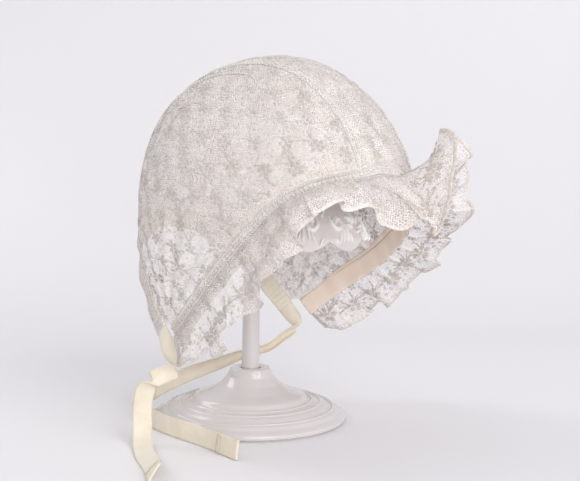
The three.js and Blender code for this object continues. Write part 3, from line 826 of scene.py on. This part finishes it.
def ruffleBorder():
    count = 1500
    u = np.linspace(0, ruffleTotal, count)
    depth = np.interp(u, ruffleU, sheetDepth)
    rib = .16 * np.sin(math.tau * u / .86)
    profile = [(-2.3, 0), (-2.0, .2), (-1.3, .34), (-.7, .38), (-.3, .3), (-.1, .2), (-.02, 0)]
    top, bottom = [], []
    for back, height in profile:
        v = np.clip(depth + back * (.72 + .28 * np.abs(np.cos(np.pi * u / 3.1))), 0, None)
        h = height + rib * min(1, height * 2)
        top.append(onRuffle(u, v, h)[2])
        bottom.append(onRuffle(u, v, -h * .7)[2])
    grid = np.stack(top + bottom[::-1])
    return gridSheet("ruffleBorder", grid, stripUv(ruffleTotal, count, np.linspace(0, 12, len(grid))))


# darker than the lace thread: partly the border's own greyer thread, partly painted shade that dulls the edge where it
# faces the lamps
borderThread = threadFinish("borderThread", (.82, .765, .73, 1), (.69, .61, .56, 1), .00086)
ruffleEdge = finishPiece(ruffleBorder(), borderThread, "lace")


def ruffleHems():
    chains = []
    for u in (.5, ruffleTotal - .5):
        v = np.linspace(.2, float(np.interp(u, ruffleU, sheetDepth)) - .3, 80)
        p, n, _ = onRuffle(np.full(80, u), v, 0.0)
        chains += [chainOn(p + n * .3 * side, n * side, 1.5, 1.2, .85, 1.1, 34) for side in (1, -1)]
    p, n, _ = onRuffle(ruffleU, np.ones_like(ruffleU), 0.0)
    return chains + [chainOn(p + n * .35 * side, n * side, 1.6, .8, .35, .45, 12) for side in (-1, 1)]


hemThread = threadFinish("hemThread", (.80, .73, .69, 1), (.62, .55, .51, 1), .00055)
ruffleEnds = finishPiece(joinChains("ruffleHems", ruffleHems()), hemThread, "lace")
print("ruffle sewn on")


# the ties

ribbonForm = {
    "width": 9.5, "thickness": .45, "clear": .1, "footRadius": 52.5, "footThickness": 4, "footGap": 1.5, "steps": 280,
    "hem": 20, "hemLift": .5, "stitchReach": 4.6,
}
# place on the route and half the angle of the roll
rightRoll = [(0, .2), (1, 1.1), (3, 1.3), (4.5, .5), (6, .15), (12, .1)]
leftRoll = [(0, .3), (1, 1.2), (2, 1.9), (5.5, 2.0), (7, 1.2), (8.5, .3), (16, .1)]
ribbonSide = np.array([.574, -.819, 0])
rightTie = [
    (-60, 8, 45, 40), (-60, 3, 40, 50), (-62, 1, 37, 60), (-66, 4, 35, 75), (-71, 9, 32, 50), (-72, 13, 26, 20),
    (-72, 15, 17, 5), (-73, 14, 9, 5), (-80, 8, 3, 10), (-93, -5, 2, 15), (-106, -20, 2, 35), (-119, -33, 1, 60),
]
leftTie = [
    (60, 9, 43, 55), (57, 10, 40, 55), (52, 14, 36, 65), (46, 18, 31, 75), (38, 22, 29, 75), (26, 26, 28, 75),
    (15, 31, 25, 80), (-4, 42, 19, 80), (-15, 53, 12, 80), (-19, 60, 6, 80), (-33, 48, 5, 80), (-48, 29, 5, 80),
    (-56, 9, 5, 80), (-61, -12, 5, 80), (-66, -28, 5, 80), (-71, -43, 5, 80),
]


def curvePoints(points, samples):   # a smooth line through the points, and each sample's place among them
    p = np.vstack([2 * points[0] - points[1], points, 2 * points[-1] - points[-2]])
    out, knots = [], []
    for k in range(len(points) - 1):
        near = list(p[k:k + 4])
        t = np.concatenate([[0], np.cumsum(np.linalg.norm(np.diff(p[k:k + 4], axis=0), axis=1) ** .5)])
        at = np.linspace(t[1], t[2], samples, endpoint=False)[:, None]
        for pairs in (((0, 1), (1, 2), (2, 3)), ((0, 2), (1, 3)), ((1, 2),)):
            near = [((t[j] - at) * a + (at - t[i]) * b) / (t[j] - t[i]) for (i, j), a, b in zip(pairs, near, near[1:])]
        out.append(near[0])
        knots.append(k + (at[:, 0] - t[1]) / (t[2] - t[1]))
    out.append(points[-1][None])
    knots.append([len(points) - 1.0])
    return np.concatenate(out), np.concatenate(knots)


def ribbonGrid(start, startWidth, route, roll):
    f = ribbonForm
    line, knots = curvePoints(np.vstack([start, [r[:3] for r in route]]), 22)
    lengths = lengthsAlong(line)
    even = np.linspace(0, lengths[-1], f["steps"] + 1)
    line = np.stack([np.interp(even, lengths, column) for column in line.T], -1)
    knots = np.interp(even, lengths, knots)
    tangent = unit(np.gradient(line, axis=0))
    twist = np.radians(np.interp(np.maximum(0, knots - 1), np.arange(len(route)), [r[3] for r in route]))
    width = ribbonSide * np.cos(twist)[:, None] + np.array([0, 0, 1.0]) * np.sin(twist)[:, None]
    blend = (1 - np.minimum(1, knots))[:, None]
    width = width * (1 - blend) + startWidth * blend
    width = unit(width - tangent * (width * tangent).sum(1, keepdims=True))
    reach = f["width"] / 2 * np.abs(width[:, 2]) + .5 * np.sqrt(np.maximum(0, 1 - width[:, 2] ** 2))
    line[:, 2] = np.maximum(line[:, 2], reach + f["clear"])   # it lies on the table, not in it
    out = np.hypot(line[:, 0], line[:, 1])
    keep = f["footRadius"] + f["footGap"]
    low = (line[:, 2] - reach < f["footThickness"] + f["footGap"]) & (out < keep)
    line[low, :2] *= (keep / out[low])[:, None]
    line, width = smoothed(line, 6), smoothed(width, 6)
    normal = unit(np.cross(tangent, width))
    places = np.linspace(-1, 1, 13)
    curl = np.interp(knots, [r[0] for r in roll], [r[1] for r in roll])
    radius = f["width"] / 2 / curl
    sway = np.sin(even / 7.0) * .35 + np.sin(even / 3.1 + 1) * .12
    grid = np.stack([line + width * (radius * np.sin(a * curl))[:, None]
                     + normal * (radius * (np.cos(a * curl) - np.cos(curl * .6)) + sway * a * .3)[:, None]
                     for a in places])
    uv = np.stack(np.meshgrid(places * f["width"] / 2, even, indexing="ij"), -1) * mm
    return grid, uv, line, width, normal, even


def makeTie(name, along, route, roll, node):
    point, run, away, _ = edgeFrames(0, np.array([float(along)]))
    beyond = 1.2 if along < .5 else -1.2
    start = point[0] + away[0] * (gap + ribbonForm["width"] / 2) + run[0] * beyond
    grid, uv, line, width, normal, even = ribbonGrid(start, -away[0], route, roll)
    tie = gridSheet(name, grid, uv, ribbonForm["thickness"])
    finishPiece(tie, creamSatin, "cream_satin", node)
    fold = len(even) - ribbonForm["hem"]   # where the hem at the free end begins
    hem = gridSheet(name + "Hem", grid[:, fold:] + normal[None, fold:] * ribbonForm["hemLift"], uv[:, fold:] + .2, .5)
    finishPiece(hem, creamSatin, "cream_satin")
    chains = []
    for k in (fold, fold + 3):
        path = line[k] + width[k] * np.linspace(-1, 1, 12)[:, None] * ribbonForm["stitchReach"]
        for side in (-1, 1):
            facing = np.repeat(normal[k][None] * side, 12, 0)
            chains.append(chainOn(path + facing * (.75 if side > 0 else .2), facing, 1.1, .75, .36, .5, 24))
    stitches = finishPiece(joinChains(name + "Stitches", chains), satinThread, "cream_satin")
    return tie, [hem, stitches], float(even[-1])


satinThread = threadFinish("satinThread", (.89, .82, .70, 1), (.74, .65, .51, 1), .0004)
tieRight, hemRight, rightLength = makeTie("tieRight", 0, rightTie, rightRoll, "tie_right")
tieLeft, hemLeft, leftLength = makeTie("tieLeft", 1, leftTie, leftRoll, "tie_left")
print("ties", rightLength, leftLength)


# the stand

footForm = {"radius": 52.5, "collar": 28.0, "facets": 128}
footSteps = [(.93, .17), (.90, .23), (.82, .26), (.78, .32), (.68, .36), (.60, .39), (.57, .48), (.42, .57), (.31, .69),
             (.24, .84)]


def softened(outline, reach):
    outline = [np.array(p, float) for p in outline]
    out = [outline[0]]
    for a, b, c in zip(outline, outline[1:], outline[2:]):
        back, ahead = a - b, c - b
        d = min(reach, .5 * np.hypot(*back), .5 * np.hypot(*ahead))
        p, q = b + back / np.hypot(*back) * d, b + ahead / np.hypot(*ahead) * d
        out += [p, (p + 2 * b + q) / 4, q]
    return out + [outline[-1]]


def turnedPiece(name, profile, facets, centre=(0, 0)):
    r0, z0 = profile[0]
    x, y = centre[0] * mm, centre[1] * mm
    bpy.ops.object.select_all(action="DESELECT")
    bpy.ops.mesh.primitive_circle_add(vertices=facets, radius=r0 * mm, fill_type="NOTHING", location=(x, y, z0 * mm))
    piece = bpy.context.active_object
    piece.name = piece.data.name = name
    bpy.ops.object.mode_set(mode="EDIT")
    bpy.ops.mesh.select_all(action="SELECT")
    for (r, z), (nextR, nextZ) in zip(profile, profile[1:]):
        bpy.ops.mesh.extrude_region_move(TRANSFORM_OT_translate={"value": (0, 0, (nextZ - z) * mm)})
        k = nextR / r
        bpy.ops.transform.resize(value=(k, k, 1), center_override=(x, y, nextZ * mm))
    bpy.ops.mesh.select_all(action="SELECT")
    bpy.ops.mesh.remove_doubles(threshold=1e-6)
    bpy.ops.mesh.normals_make_consistent(inside=False)
    bpy.ops.mesh.select_all(action="DESELECT")
    bpy.ops.object.mode_set(mode="OBJECT")
    bpy.ops.object.transform_apply(location=True, rotation=True, scale=True)
    bpy.ops.object.shade_smooth_by_angle(angle=math.radians(32))
    piece.select_set(False)
    return piece


tiny = .02   # the radius that a turned profile starts and ends with


def beaded(outline, width, height):   # a small round bead on each broad step
    out = [outline[0]]
    for (r, z), (nextR, nextZ) in zip(outline, outline[1:]):
        if r - nextR > width * 1.4:
            centre, level = (r + nextR) / 2, (z + nextZ) / 2
            out += [(centre + width * k, level + height * up) for k, up in ((.5, 0), (.25, 1), (-.25, 1), (-.5, 0))]
        out.append((nextR, nextZ))
    return out


footRings = [(r * footForm["radius"], z * footForm["collar"]) for r, z in footSteps]
footOutline = [(50.6, 0), (50.6, .7), (52.3, 1.0), (52.5, 1.7), (52.5, 3.2)] + beaded(footRings[:6], 1.6, .75) \
    + footRings[6:] + [(10.8, 28.0), (5.3, 28.0), (5.3, 22.4)]
footProfile = [(tiny, 0)] + softened(footOutline, .9) + [(tiny, 22.2)]
finishPiece(turnedPiece("standFoot", footProfile, footForm["facets"]), whiteGlaze, "white_gloss", "stand_base")

postOutline = [(4.9, 22.4), (4.9, 24), (4.55, 60), (4.2, 116), (4.2, 117.6)]
postProfile = [(tiny, 22.4)] + softened(postOutline, 1.0) + [(tiny, 117.6)]
finishPiece(turnedPiece("standPost", postProfile, 48), whiteGlaze, "white_gloss", "stand_post")

columnOutline = [
    (17.4, 120.9), (17.4, 124.5), (16.3, 125.6), (16.3, 128), (15.8, 129), (15.8, 178),
    (16.3, 181), (17.2, 182.5), (17.2, 185.5), (15.0, 189.5), (9, 192.6), (3, 193.7),
]
columnProfile = [(tiny, 120.9)] + softened(columnOutline, 1.2) + [(tiny, 193.8)]
finishPiece(turnedPiece("standColumn", columnProfile, 64, (0, -15)), whiteGlaze, "white_gloss", "stand_column")

headForm = {
    "centre": -23.0, "length": 44.0, "width": 40.0, "rim": 99.5, "rise": 21.0, "wall": 2.5, "lobes": 11, "drop": 5.3,
    "arch": 1.8, "shift": 1 / 3,
}
headSteps = [(1.0, 0), (.98, .1), (.95, .2), (.91, .36), (.86, .52), (.79, .68), (.72, .80), (.62, .89), (.50, .96),
             (.38, 1.0)]


def lobed(p):
    f = headForm
    around = np.arctan2(p[:, 1], p[:, 0])
    low = 1 - ease(p[:, 2], f["rim"], f["rim"] + f["rise"] / 2)
    wave = np.abs(np.sin(around * f["lobes"] / 2 - f["shift"] * np.pi))
    q = p.copy()
    q[:, 2] += low * (f["arch"] - f["drop"] * wave)
    swell = 1 + .012 * low * (wave - .5)
    q[:, 0] *= f["width"] / f["length"] * swell
    q[:, 1] = q[:, 1] * swell + f["centre"]
    return q


def makeHead():
    f = headForm
    outer = [(r * f["length"], f["rim"] + z * f["rise"]) for r, z in headSteps]
    inner = [(r * f["length"] - f["wall"], f["rim"] + z * (f["rise"] - f["wall"])) for r, z in headSteps[:-1]]
    profile = [(tiny, f["rim"] + f["rise"] - f["wall"]), (14, f["rim"] + f["rise"] - f["wall"])] + inner[::-1] \
        + [(f["length"] - 1.2, f["rim"] - .3)] + outer + [(tiny, f["rim"] + f["rise"])]
    head = turnedPiece("standHead", profile, f["lobes"] * 14)
    points = np.zeros(len(head.data.vertices) * 3)
    head.data.vertices.foreach_get("co", points)
    head.data.vertices.foreach_set("co", (lobed(points.reshape(-1, 3) / mm) * mm).ravel())
    head.data.update()
    return head


finishPiece(makeHead(), headPaintedLightGlaze, "white_gloss", "stand_head")

scrollForm = {
    "volute": 8.9, "voluteUp": 12.4, "bigRadius": 5.0, "smallRadius": 1.6, "turns": 430, "thick": 1.45, "height": 1.9,
}


def onHead(u, t, height):   # u runs round the rim from a cusp, t up from the rim, both in millimetres
    f = headForm
    outline = np.array([(r * f["length"], f["rim"] + z * f["rise"]) for r, z in headSteps])
    lengths = lengthsAlong(outline)

    def skin(u, t):
        r, z = np.interp(t, lengths, outline[:, 0]), np.interp(t, lengths, outline[:, 1])
        a = u / f["length"]
        flat = np.stack([r * np.cos(a), r * np.sin(a), z], -1)
        return lobed(flat.reshape(-1, 3)).reshape(flat.shape)

    p = skin(u, t)
    return p + unit(np.cross(skin(u + .2, t) - p, skin(u, t + .2) - p)) * height[..., None]


def scroll(u0, side):
    f = scrollForm
    q = np.linspace(0, 1, 44)
    swirl = np.radians(60 - f["turns"] * q)
    radius = f["bigRadius"] + (f["smallRadius"] - f["bigRadius"]) * q ** .8
    path = np.stack([u0 + side * (f["volute"] - radius * np.cos(swirl)), f["voluteUp"] + radius * np.sin(swirl)], -1)
    along = unit(np.gradient(path, axis=0))
    over = np.stack([-along[:, 1], along[:, 0]], -1)
    thick = f["thick"] * (np.sin(np.pi * np.clip(q * 1.6 + .12, 0, .5)) * (1 - .35 * q))
    around = np.linspace(0, np.pi, 8)
    flat = path[:, None] + over[:, None] * (np.cos(around)[None, :, None] * thick[:, None, None])
    height = np.sin(around)[None, :] * (f["height"] * thick / f["thick"])[:, None] - .1
    return onHead(flat[..., 0], flat[..., 1], height)


def headOrnament():
    f = headForm
    pitch = math.tau * f["length"] / f["lobes"]
    points, faces, start = [], [], 0
    pads = []
    for k in range(f["lobes"]):
        u0 = (k + f["shift"]) * pitch
        if k % 2 == 0:   # a fan of leaves between two pairs of scrolls
            for q in (158, 124, 90, 56, 22):
                du, dt = aim(q, 7.2)
                pads.append((u0 + du, 7.0 + dt, q, 3.9, 1.1, 1.8, .45))
            pads.append((u0, 5.6, 0, 1.7, 1.3, 1.9, 0))
        else:
            for side in (-1, 1):
                grid = scroll(u0, side)
                points.append(grid.reshape(-1, 3))
                block = gridFaces(*grid.shape[:2], offset=start)
                faces += [tuple(q) for q in (block if side > 0 else block[:, ::-1])]
                start += grid.shape[0] * grid.shape[1]
                pads.append((u0 + side * (scrollForm["volute"] - .8), scrollForm["voluteUp"] + .3, 0, 1.7, 1.7, 2.3, 0))
                pads.append((u0 + side * 3.6, 20.4, 90 - side * 38, 3.2, 1.2, 1.8, .5))
                pads.append((u0 + side * 4.4, 2.6, 90 + side * 40, 2.0, 1.0, 1.6, .4))
            pads.append((u0, 21.4, 90, 3.6, 1.2, 2.0, .5))
            pads.append((u0, 16.6, 0, 1.3, 1.3, 1.8, 0))
        middle = u0 + pitch / 2
        for side in (-1, 1):
            pads.append((middle + side * 1.4, 8.2, 90 + side * 6, 5.4, 1.15, 1.9, .5))
            pads.append((middle + side * 4.0, 5.6, 90 + side * 24, 3.6, 1.0, 1.6, .5))
    u, t, height, _ = padCopies(pads)
    p = onHead(u, np.clip(t, -.4, 40), height - .08)
    for k in range(len(p)):
        faces += [tuple(n + start + k * len(padPoints) for n in face) for face in padFaces]
    points.append(p.reshape(-1, 3))
    piece = meshPiece("headOrnament", np.concatenate(points), faces)
    makeActive(piece)
    carved = piece.modifiers.new("rounding", "SUBSURF")
    carved.levels = carved.render_levels = 1
    bpy.ops.object.modifier_apply(modifier=carved.name)
    piece.select_set(False)
    return piece


# the relief wears the lighter glaze, a painted highlight
finishPiece(headOrnament(), carvedHighlightGlaze, "white_gloss")
print("stand turned")


# the lengths of the cloth strips

# the face edge's length, twice, then the neck edge's and the two ties', in metres; nothing keeps these values
faceTotal * mm
faceTotal * mm
neckTotal * mm
rightLength * mm
leftLength * mm


# floor, light and camera

stageForm = {"turnAt": .28, "radius": .35, "wide": 7.0}
view = {
    "place": (-.45873, -.32120, .14162), "lens": 64.3678, "sensor": 36.0,
    "right": (.54393384, -.83901266, .01391888), "up": (.05849223, .05445718, .99680142),
    "ahead": (.837087, .54137987, -.07869683),
}

ahead = Vector((view["ahead"][0], view["ahead"][1], 0)).normalized()
side = Vector((ahead.y, -ahead.x, 0))


def makeFloor():
    s = stageForm
    outline = [(-2.2, 0)] + [(s["turnAt"] + s["radius"] * math.sin(a), s["radius"] * (1 - math.cos(a)))
                             for a in np.linspace(0, math.pi / 2, 24)] + [(s["turnAt"] + s["radius"], 2.4)]
    points, faces = [], []
    for y, z in outline:
        for x in (-s["wide"], s["wide"]):
            p = ahead * y + side * x
            points.append((p.x / mm, p.y / mm, z / mm))
    for k in range(len(outline) - 1):
        faces.append((2 * k, 2 * k + 1, 2 * k + 3, 2 * k + 2))
    return meshPiece("floor", points, faces)


floor = makeFloor()
paper = Finish("palePaper", Roughness=.55)
cloud = paper.noise(paper.coordinates("Object"), 3.0, 2.0)
paper.set(Base_Color=paper.blend(cloud, (.80, .79, .81, 1), (.775, .765, .79, 1)))
floor.data.materials.append(paper.material)

world = bpy.data.worlds.new("studio")
bpy.context.scene.world = world
world.use_nodes = True
colour, strength = world.node_tree.nodes["Background"].inputs[:2]
colour.default_value, strength.default_value = (.98, .975, .985, 1), .64


def areaLight(name, place, target, size, power, colour=(1, 1, 1)):
    light = bpy.data.lights.new(name, "AREA")
    light.shape, light.size, light.energy, light.color = "DISK", size, power, colour
    lamp = bpy.data.objects.new(name, light)
    lamp.visible_camera = False
    bpy.context.scene.collection.objects.link(lamp)
    lamp.location = place
    lamp.rotation_euler = (Vector(target) - Vector(place)).to_track_quat("-Z", "Y").to_euler()
    return lamp


areaLight("windowLight", tuple(ahead * .55 - side * 1.0 + Vector((0, 0, 1.0))), (0, 0, .1), .9, 7, (1, .99, .97))
areaLight("roomLight", tuple(-ahead * 1.0 + side * .8 + Vector((0, 0, .9))), (0, 0, .1), 1.1, 11)
areaLight("fillLight", tuple(-ahead * .9 + side * .15 + Vector((0, 0, .12))), (0, 0, .1), .7, 3.2)

camera = bpy.data.cameras.new("camera")
camera.lens, camera.sensor_width, camera.sensor_fit = view["lens"], view["sensor"], "HORIZONTAL"
camera.clip_start, camera.clip_end = .02, 20
cameraObject = bpy.data.objects.new("camera", camera)
bpy.context.scene.collection.objects.link(cameraObject)
right, up, forward = (Vector(view[k]) for k in ("right", "up", "ahead"))
cameraObject.matrix_world = Matrix.Translation(view["place"]) @ Matrix((right, up, -forward)).transposed().to_4x4()
bpy.context.scene.camera = cameraObject
bpy.context.scene.view_settings.view_transform = "Standard"
bpy.context.scene.cycles.transparent_max_bounces = 24
print("studio set")
